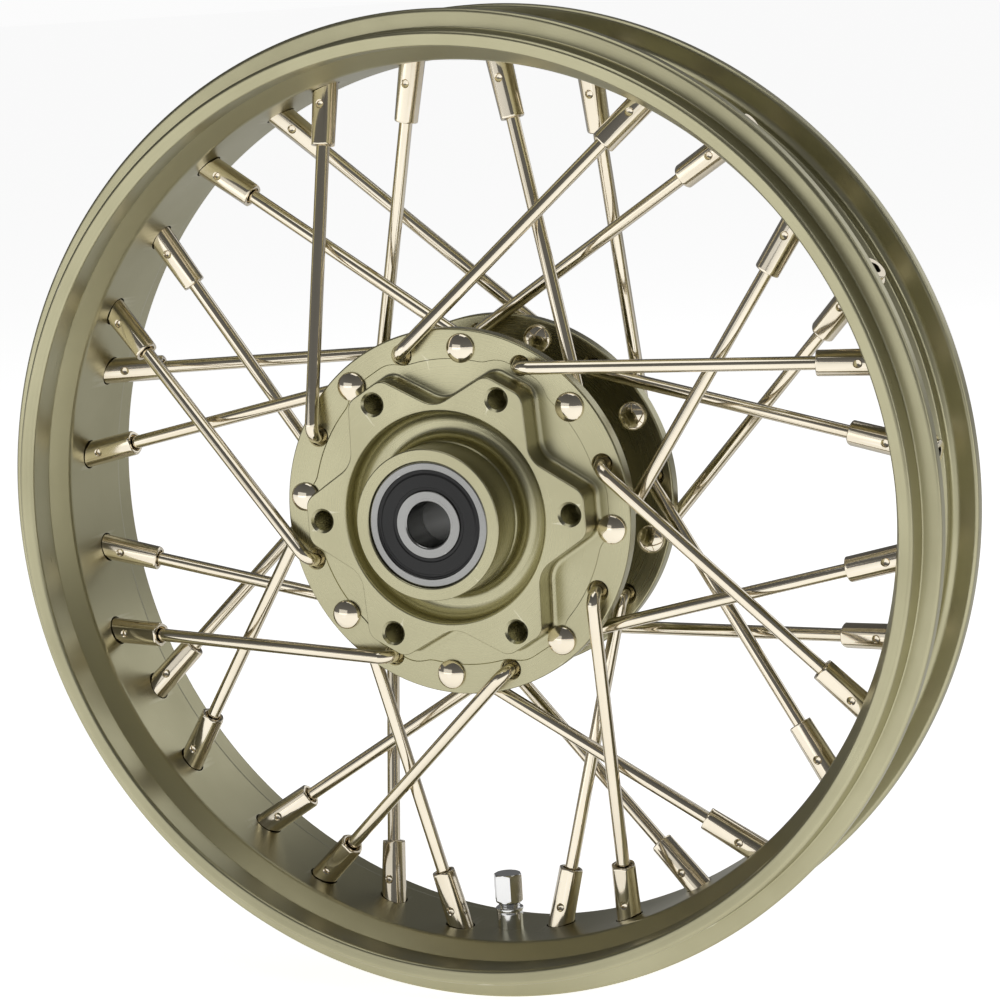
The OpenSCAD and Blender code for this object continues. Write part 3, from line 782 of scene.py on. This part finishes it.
@dataclass
class Rim:
    """The shouldered rim, turned in one piece and drilled."""

    around: int = 512
    nipple_hole_d: float = 9.6
    spot_face_d: float = 12.8
    spot_face_at: float = -4.0
    valve_hole_d: float = 7.9
    valve_seat: float = 154.2
    valve_face_d: float = 17.0
    half_section: tuple[Corner, ...] = (
        (149.0, 17.4, 3.0), (153.85, 24.6, 0.8), (154.1, 34.9, 1.2), (159.1, 35.8, 1.2), (159.7, 26.0, 0.5),
        (166.0, 26.0, 1.2), (166.0, 20.3, 1.2), (157.4, 20.3, 2.5), (157.4, 14.4, 1.4), (154.5, 11.5, 1.0),
    )

    def _cutters(self, lacing: Lacing) -> Shape:
        """Returns the drills of the nipple holes and the valve hole."""

        def stepped(r: float, face: float, start: float, seat: float, end: float) -> Shape:
            """Returns a drill of radius r from start to seat, and of radius face on to end."""
            return lathe([(0, start), (r, start), (r, seat), (face, seat), (face, end), (0, end)], 64, closed=False)

        at = self.spot_face_at
        nipple = stepped(self.nipple_hole_d / 2, self.spot_face_d / 2, at - 16, at, at + 12)
        valve = stepped(self.valve_hole_d / 2, self.valve_face_d / 2, 140, self.valve_seat, 158)
        shapes = [nipple.moved(m) for family in lacing.families for m in lacing.nipple_places(family)]
        return Shape.joined([*shapes, valve.moved(down_the_valve())])

    def build(self, finishes: Finishes, lacing: Lacing) -> None:
        """Builds the rim."""
        near = list(self.half_section)
        far = [(r, -y, fillet) for r, y, fillet in reversed(near)]
        section = rounded([*near, *far])
        obj = lathe(section, self.around).moved(about_axle()).to_object("rim_ring")
        drill(obj, self._cutters(lacing))
        fit(finishes.dress(smooth(obj, flats=True), finishes.rim), "wheel", "rim")


# ------------------------------------------------------------------ hub


@dataclass
class Hub:
    """The hub: two spoke flanges, the barrel, the bearing bosses and the lobed disc plate."""

    around: int = 512
    flange_r: float = 61.6
    flange_face: float = 23.66
    flange_t: float = 5.4
    plate_face: float = 34.0
    plate_root: float = 51.0
    plate_step: float = 0.3
    foot_r: float = 3.0
    lobes: int = 6
    lobe_phase: float = 1.5
    lobe_tip_r: float = 50.3
    lobe_tip_half: float = 8.2
    lobe_tip_round: float = 5.0
    lobe_valley_r: float = 36.9
    lobe_valley_round: float = 9.0
    groove: tuple[float, float] = (25.65, 35.2)
    groove_depth: float = 9.0
    bore_r: float = 18.5
    bearing_r: float = 21.0
    bearing_w: float = 13.0
    bearing_inset: float = 0.8
    boss_r: float = 25.15
    boss_end: float = 48.1
    barrel_r: float = 28.0
    barrel_fillet: float = 6.0
    far_root_r: float = 46.0
    far_cone: float = 30.0
    bolt_r: float = 44.4
    bolt_hole_r: float = 3.4
    bolt_sink_r: float = 4.2
    spoke_at: float = 55.2
    spoke_holes: int = 16
    near_first_angle: float = 264.375
    far_first_angle: float = 230.625
    spoke_hole_r: float = 2.5
    spoke_sink_r: float = 3.7

    def _outline(self) -> tuple[np.ndarray, np.ndarray]:
        """Returns the disc plate's outline, one point to each angle, and its outward normals."""
        corners: list[Corner] = []
        for i in range(self.lobes):
            centre = self.lobe_phase + 360 * i / self.lobes
            for r, a, fillet in (
                (self.lobe_tip_r, centre - self.lobe_tip_half, self.lobe_tip_round),
                (self.lobe_tip_r, centre + self.lobe_tip_half, self.lobe_tip_round),
                (self.lobe_valley_r, centre + 180 / self.lobes, self.lobe_valley_round),
            ):
                corners.append((r * math.cos(math.radians(a)), r * math.sin(math.radians(a)), fillet))
        dense = np.array(rounded(corners, steps=24))
        around = np.concatenate([dense, dense[:1]])
        part = np.linspace(0, 1, 12, endpoint=False)[:, None]
        fine = np.concatenate([around[i] + (around[i + 1] - around[i]) * part for i in range(len(dense))])
        angle = np.arctan2(fine[:, 1], fine[:, 0])
        order = np.argsort(angle)
        theta = turn_angles(self.around)
        wrapped = np.mod(theta + math.pi, math.tau) - math.pi
        radius = np.interp(wrapped, angle[order], np.hypot(*fine[order].T), period=math.tau)
        points = np.stack([radius * np.cos(theta), radius * np.sin(theta)], axis=-1)
        along = np.roll(points, -1, axis=0) - np.roll(points, 1, axis=0)
        normal = np.stack([along[:, 1], -along[:, 0]], axis=-1)
        return points, normal / np.linalg.norm(normal, axis=1, keepdims=True)

    def _body(self) -> Shape:
        """Returns the undrilled hub about Z."""
        inner = self.flange_face - self.flange_t
        seat = self.boss_end - self.bearing_inset - self.bearing_w
        g0, g1 = self.groove
        groove_floor = self.plate_face - self.groove_depth
        half = (g1 - g0) / 2
        low = self.flange_face - self.plate_step
        points, normal = self._outline()
        theta = turn_angles(self.around)
        rays = np.stack([np.cos(theta), np.sin(theta)], axis=-1)
        rings: list[np.ndarray] = []

        def turned(profile: Sequence[Point]) -> None:
            """Adds round rings."""
            for r, y in profile:
                rings.append(np.column_stack([rays * r, np.full(self.around, y)]))

        def lobed(profile: Sequence[Point]) -> None:
            """Adds rings that keep a distance from the plate's outline."""
            for d, y in profile:
                rings.append(np.column_stack([points + normal * d, np.full(self.around, y)]))

        top, face, end = self.plate_face, self.flange_face, self.boss_end
        near_side = [
            (self.bore_r, 0, 0), (self.bore_r, seat, 0.2), (self.bearing_r, seat, 0), (self.bearing_r, end - 0.1, 0.5),
            (self.boss_r, end, 0.5), (self.boss_r, top - 0.4, 0.3), (g0, top - 1.0, 0.3),
            (g0, groove_floor, half * 0.98), (g1, groove_floor, half * 0.98), (g1, top, 1.2), (g1 + 2.2, top, 0),
        ]
        turned(rounded(near_side, closed=False, steps=9)[1:-1])
        edge = [(-1.4, top, 0), (0, top, 0.55), (0, low, self.foot_r), (self.foot_r + 0.4, low, 0)]
        edge = rounded(edge, closed=False, steps=10)
        # A ring between the groove and the disc holes keeps the painted edge highlight of the holes at their edges.
        brink = rings[-1][:, :2]
        between = brink + 0.25 * (points + normal * edge[0][0] - brink)
        rings.append(np.column_stack([between, np.full(self.around, top)]))
        lobed([*edge, (self.foot_r + 0.7, low)])
        foot = points + normal * (self.foot_r + 0.7)
        reach = np.hypot(*foot.T)[:, None]
        root = (reach**60 + self.plate_root**60) ** (1 / 60)
        step = ((0.2, low), (0.4, low), (0.47, low + 0.06), (0.58, face - 0.06), (0.65, face), (0.9, face))
        for extra, y in step:
            rings.append(np.column_stack([foot / reach * (root + extra), np.full(self.around, y)]))
        far_side = [
            (56, face, 0), (self.flange_r, face, 0.6), (self.flange_r, inner, 0.6),
            (self.barrel_r, inner, self.barrel_fillet), (self.barrel_r, -inner, self.barrel_fillet),
            (self.flange_r, -inner, 0.6), (self.flange_r, -face, 0.6), (self.far_root_r, -face, 4),
            (g0 + 0.6, -self.far_cone, 1.5), (self.boss_r, -end, 0.5), (self.bearing_r, 0.1 - end, 0.5),
            (self.bearing_r, -seat, 0), (self.bore_r, -seat, 0.2), (self.bore_r, 0, 0),
        ]
        turned(rounded(far_side, closed=False, steps=9)[:-1])
        return skin(np.array(rings), closed=True)

    def _cutters(self) -> Shape:
        """Returns the drills of the disc holes and the spoke holes, about Z."""
        inner = self.flange_face - self.flange_t
        pitch = 1.25
        floor = inner + 1.5
        top, face = self.plate_face, self.flange_face
        thread: list[Point] = [(0, floor - 1.6), (self.bolt_hole_r - 0.2, floor)]
        y = floor + 0.5
        while y < top - 1.6:
            thread += [(self.bolt_hole_r, y), (self.bolt_hole_r + 0.32, y + pitch / 2)]
            y += pitch
        depth = self.bolt_sink_r - self.bolt_hole_r
        thread += [(self.bolt_hole_r, top - depth), (self.bolt_sink_r + 0.5, top + 0.5), (0, top + 0.5)]
        bolt = lathe(thread, 48, closed=False)
        r, wide, lip = self.spoke_hole_r, self.spoke_sink_r, 0.35
        half = [(wide + 1, -1), (wide - lip, lip), (wide - lip, 1.9), (r, 2.5)]
        inside = [(x, inner + y) for x, y in half]
        outside = [(x, face - y) for x, y in reversed(half)]
        spoke = lathe([(0, inner - 1), *inside, *outside, (0, face + 1)], 48, closed=False)
        shapes = []
        for i in range(self.lobes):
            spin = Matrix.Rotation(math.radians(self.lobe_phase + 360 * i / self.lobes), 4, "Z")
            shapes.append(bolt.moved(spin @ Matrix.Translation((self.bolt_r, 0, 0))))
        for first, flip in ((self.near_first_angle, 1), (self.far_first_angle, -1)):
            for k in range(self.spoke_holes):
                spin = Matrix.Rotation(math.radians(first + 360 / self.spoke_holes * k), 4, "Z")
                mirror = Matrix.Diagonal((1, 1, flip, 1))
                shapes.append(spoke.moved(spin @ mirror @ Matrix.Translation((self.spoke_at, 0, 0))))
        return Shape.joined(shapes)

    def build(self, finishes: Finishes) -> None:
        """Builds the hub."""
        obj = self._body().moved(about_axle()).to_object("hub_body")
        drill(obj, self._cutters().moved(about_axle()))
        fit(finishes.dress(smooth(obj, flats=True), finishes.hub), "wheel", "hub_shell")


# ------------------------------------------------------------------ bearings


@dataclass
class Bearings:
    """The two sealed bearings and the tube between them."""

    middle: float = 40.8
    width: float = 13.0
    bore_r: float = 7.5
    outer_r: float = 21.0
    inner_shoulder: float = 11.15
    outer_shoulder: float = 18.1
    around: int = 192

    def build(self, finishes: Finishes) -> None:
        """Builds the rings and outer seals that show, and dresses the parts inside."""
        half, in_r, out_r = self.width / 2, self.inner_shoulder, self.outer_shoulder
        outer = rounded([
            (17.0, -4.8, 0.1), (self.outer_r, -half, 0.9), (self.outer_r, half, 0.9), (out_r, half, 0.3),
            (out_r, 4.85, 0.05), (17.0, 4.8, 0.1),
        ])
        inner = rounded([
            (self.bore_r, -half, 0.9), (in_r, -half, 0.3), (in_r, half, 0.3), (self.bore_r, half, 0.9),
        ])
        lip = in_r + 0.06
        seal = rounded([
            (lip, 4.9, 0.1), (lip, 5.95, 0.25), (12.3, 5.9, 0.3), (12.5, 6.22, 0.2), (16.4, 6.22, 0.25),
            (16.9, 5.85, 0.25), (17.4, 5.85, 0.2), (17.6, 6.1, 0.2), (out_r - 0.02, 6.1, 0.15), (out_r - 0.02, 4.9, 0.1),
        ], steps=5, support=0.08)
        for side in Side:
            name = side.name.lower()
            put = Matrix.Translation((0, -side.value * self.middle, 0)) @ about_axle()
            ring = lathe(outer, self.around).moved(put).to_object(name + "_outer_race")
            fit(finishes.dress(smooth(ring), finishes.ground), "wheel", name + "_outer_ring")
            ring = lathe(inner, self.around).moved(put).to_object(name + "_inner_race")
            fit(finishes.dress(smooth(ring), finishes.ground), "axle_core", name + "_inner_ring")
            flip = Matrix.Diagonal((1, 1, side.value, 1))
            ring = lathe(seal, self.around).moved(put @ flip).to_object(name + "_dust_seal")
            fit(finishes.dress(smooth(ring), finishes.rubber), "wheel", name + "_outer_seal")
            finishes.dress_node(name + "_balls", finishes.ball)
            finishes.dress_node(name + "_cage", finishes.brass)
            finishes.dress_node(name + "_inner_seal", finishes.rubber)
        finishes.dress_node("distance_tube", finishes.tube)


# ------------------------------------------------------------------ valve


@dataclass
class Valve:
    """The tube valve: stem, sleeve nut, core and hexagon cap, drawn along the distance from the axle."""

    around: int = 96
    stem_r: float = 3.85
    stem_top: float = 132.6
    stem_foot: float = 157.5
    gasket_top: float = 155.7
    flange_r: float = 7.3
    thread_depth: float = 0.42
    thread_pitch: float = 0.8
    sleeve_r: float = 4.5
    sleeve_top: float = 141.7
    well_r: float = 149.0
    cap_af: float = 9.0
    cap_top: float = 129.8
    cap_bottom: float = 139.8

    def _stem(self) -> Shape:
        """Returns the threaded stem with its foot and its bore."""
        outer: list[Point] = [(self.stem_r - 0.5, self.stem_top)]
        y = self.stem_top + 0.4
        while y < self.well_r - 1:
            outer += [(self.stem_r, y), (self.stem_r - self.thread_depth, y + self.thread_pitch / 2)]
            y += self.thread_pitch
        foot = [
            (self.stem_r, y, 0), (self.stem_r, self.gasket_top, 0.2), (self.flange_r, self.gasket_top, 0.2),
            (self.flange_r, self.stem_foot, 0.5), (1.0, self.stem_foot, 0),
        ]
        outer += rounded(foot, closed=False)
        outer += [(1.0, 144.0), (2.2, 144.0), (2.2, self.stem_top + 0.3), (2.5, self.stem_top)]
        return lathe(outer, self.around)

    def _sleeve(self) -> Shape:
        """Returns the round sleeve nut with its collar."""
        bore, top = self.stem_r + 0.1, self.sleeve_top
        outline = [
            (bore, self.well_r, 0), (bore, top, 0.15), (4.8, top, 0.25), (4.8, top + 0.9, 0.25),
            (self.sleeve_r - 0.15, top + 1.3, 0.2), (self.sleeve_r, top + 2.0, 0.3), (self.sleeve_r, self.well_r, 0.1),
        ]
        return lathe(rounded(outline, support=0.1), self.around)

    def _cap(self) -> Shape:
        """Returns the hexagon cap, hollow, with its edges turned round."""
        corner = self.cap_af / 2 / math.cos(math.pi / 6)
        top, bottom, bore, ceiling = self.cap_top, self.cap_bottom, 3.93, 131.3
        outline = rounded(
            [
                (0.0, top, 0), (corner - 0.9, top, 0.3), (corner, top + 0.5, 0.4), (corner, bottom - 0.9, 0.6),
                (corner - 0.7, bottom, 0.3), (bore, bottom, 0.15), (bore, ceiling, 0.1), (0.0, ceiling, 0),
            ],
            closed=False, support=0.12,
        )
        phi = np.arange(self.around) * math.tau / self.around
        off_flat = np.abs(np.mod(phi, math.pi / 3) - math.pi / 6)
        hexagon = self.cap_af / 2 / np.cos(off_flat)
        rings = []
        for r, y in outline:
            radius = np.full(self.around, max(r, 1e-4))
            if r > self.cap_af / 2 - 0.2:
                radius = np.minimum(hexagon, r)
            rings.append(np.stack([radius * np.cos(phi), radius * np.sin(phi), np.full(self.around, y)], axis=-1))
        return skin(np.array(rings), closed=False)

    def build(self, finishes: Finishes) -> None:
        """Builds the parts that show, and dresses the parts inside."""
        put = down_the_valve()
        for shape, name, body, node, finish, sharp in (
            (self._stem(), "threaded_stem", "wheel", "valve_stem", finishes.chrome, 24),
            (self._sleeve(), "sleeve_nut", "wheel", "valve_sleeve_nut", finishes.chrome, 32),
            (self._cap(), "hexagon_cap", "valve_cap", "valve_cap", finishes.chrome, 24),
        ):
            obj = shape.moved(put).to_object(name, weld=True)
            fit(finishes.dress(smooth(obj, sharp), finish), body, node)
        for node, finish in (
            ("valve_gasket", finishes.rubber), ("valve_core_body", finishes.brass), ("valve_core_pin", finishes.ball),
            ("valve_core_spring", finishes.ball), ("valve_cap_seal", finishes.rubber),
        ):
            finishes.dress_node(node, finish)


# ------------------------------------------------------------------ studio


@dataclass(frozen=True)
class Panel:
    """A soft light panel that faces the hub."""

    name: str
    place: tuple[float, float, float]
    size: tuple[float, float]
    brightness: float

    def hang(self) -> None:
        """Makes the panel's light."""
        data = bpy.data.lights.new(self.name, "AREA")
        data.shape, data.size, data.size_y = "RECTANGLE", *self.size
        data.energy = self.brightness * math.pi * self.size[0] * self.size[1]
        light = bpy.data.objects.new(self.name, data)
        light.location = self.place
        light.rotation_euler = (-Vector(self.place)).to_track_quat("-Z", "Y").to_euler()
        light.visible_camera = False
        bpy.context.scene.collection.objects.link(light)


@dataclass
class Studio:
    """The camera, the pale floor and the soft lights."""

    camera_at: tuple[float, float, float] = (0.4423, -1.0382, 0.1740)
    camera_right: tuple[float, float, float] = (0.92382, 0.37760, -0.06298)
    camera_up: tuple[float, float, float] = (-0.0002, 0.16494, 0.98630)
    camera_back: tuple[float, float, float] = (0.38282, -0.91116, 0.15245)
    lens: float = 121.47
    sensor: float = 36.0
    panels: tuple[Panel, ...] = (
        Panel("key", (-0.85, -1.45, 0.10), (1.3, 0.6), 0.62),
        Panel("side", (1.50, 0.10, 0.25), (0.35, 1.8), 1.7),
        Panel("top", (0.15, -0.05, 1.45), (2.2, 0.9), 1.1),
        Panel("rear", (0.75, 1.40, 0.60), (1.2, 1.0), 0.75),
    )

    def _camera(self) -> None:
        """Sets the camera."""
        data = bpy.data.cameras.new("camera")
        data.lens, data.sensor_width, data.clip_start = self.lens, self.sensor, 0.01
        camera = bpy.data.objects.new("camera", data)
        axes = Matrix((self.camera_right, self.camera_up, self.camera_back)).transposed()
        camera.matrix_world = Matrix.LocRotScale(Vector(self.camera_at), axes.to_quaternion(), None)
        bpy.context.scene.collection.objects.link(camera)
        bpy.context.scene.camera = camera

    def _floor(self) -> None:
        """Lays the pale floor that the wheel stands on; it glows white to the camera, and glows as painted light onto
        the wheel, brighter in front of it.
        """
        low = CAD_BOX[0][2]
        size = 60.0
        corners = [(x * size, y * size, low) for x, y in ((-1, -1), (1, -1), (1, 1), (-1, 1))]
        mesh = bpy.data.meshes.new("floor")
        mesh.from_pydata(corners, [], [(0, 1, 2, 3)])
        floor = bpy.data.objects.new("floor", mesh)
        bpy.context.scene.collection.objects.link(floor)
        material = bpy.data.materials.new("pale_floor")
        material.use_nodes = True
        n = Nodes(material.node_tree)
        place = n.add("TexCoord").outputs["Object"]
        noise = n.add("TexNoise", {"Vector": place, "Scale": 30.0, "Detail": 3.0}).outputs["Fac"]
        ahead = n.ramp(n.add("SeparateXYZ", {0: place}).outputs["Y"], 0.2, -0.12)
        seen = n.add("LightPath").outputs["Is Camera Ray"]
        # The floor's glow is plain white to the camera and painted light onto the wheel, stronger in front of it.
        glow = n.math("MAXIMUM", n.math("MULTIPLY", seen, 0.86), n.math("MULTIPLY_ADD", ahead, 0.66, 0.2))
        shader = n.add(
            "BsdfPrincipled",
            {
                "Base Color": (0.9, 0.9, 0.9, 1),
                "Roughness": n.math("MULTIPLY_ADD", noise, 0.1, 0.8),
                "Specular IOR Level": 0.0,
                "Emission Color": (1, 1, 1, 1),
                "Emission Strength": glow,
            },
        )
        n.add("OutputMaterial", {"Surface": shader.outputs["BSDF"]})
        mesh.materials.append(material)

    def _surround(self) -> None:
        """Sets the dim surround, which the camera itself sees as the backdrop's white."""
        world = bpy.data.worlds.new("studio")
        world.use_nodes = True
        n = Nodes(world.node_tree)
        way = n.add("SeparateXYZ", {0: n.add("TexCoord").outputs["Generated"]})
        level = n.math("MULTIPLY_ADD", n.ramp(way.outputs["Z"], 0.9, -0.3), 0.10, 0.08)
        seen = n.add("LightPath").outputs["Is Camera Ray"]
        strength = n.math("MAXIMUM", n.math("MULTIPLY", seen, 0.97), level)
        glow = n.add("Background", {"Color": (1, 1, 1, 1), "Strength": strength})
        n.add("OutputWorld", {"Surface": glow.outputs[0]})
        bpy.context.scene.world = world

    def build(self) -> None:
        """Builds the studio."""
        self._camera()
        self._floor()
        for panel in self.panels:
            panel.hang()
        self._surround()
        bpy.context.scene.view_settings.view_transform = "Standard"


def main() -> None:
    """Builds the wheel in order."""
    logging.basicConfig(level=logging.INFO, format="%(name)s: %(message)s")
    finishes = Finishes()
    lacing = Lacing()
    Rim().build(finishes, lacing)
    Hub().build(finishes)
    lacing.build(finishes)
    Bearings().build(finishes)
    Valve().build(finishes)
    Studio().build()


if __name__ == "__main__":
    main()
